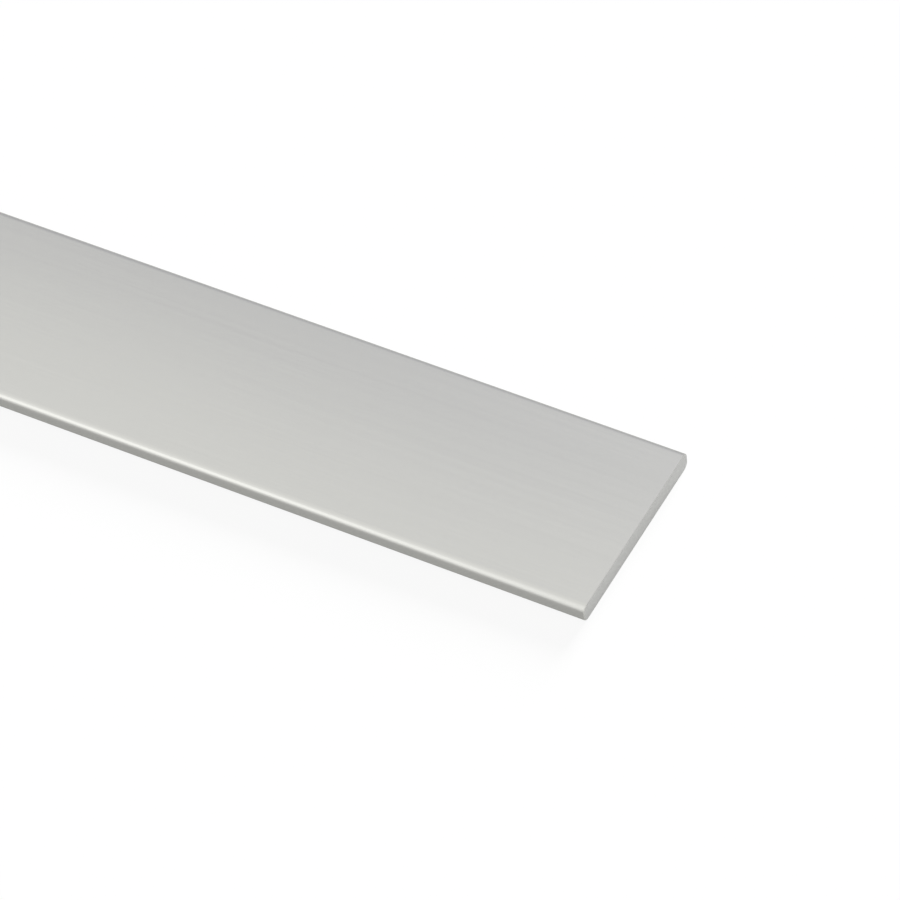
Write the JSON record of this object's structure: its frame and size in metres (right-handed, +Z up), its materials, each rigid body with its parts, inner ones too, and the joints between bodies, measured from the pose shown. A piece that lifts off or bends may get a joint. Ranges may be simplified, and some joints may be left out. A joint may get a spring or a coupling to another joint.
{
  "type": "aluminium flat bar",
  "caption": "Flat bar of extruded, silver-anodised aluminium: a long thin strip with rounded long edges and square sawn ends.",
  "frame": {"origin": "centre of the broad face that the bar lies on", "axes": "+X along the bar, +Y across its width, +Z up through its thickness"},
  "size_m": [1, 0.02, 0.002],
  "materials": {
    "anodised_aluminium": "natural silver satin anodised, with faint lines along the extrusion; sawn ends matt"
  },
  "bodies": {
    "root": {"flat_bar": "anodised_aluminium"}
  },
  "joints": []
}
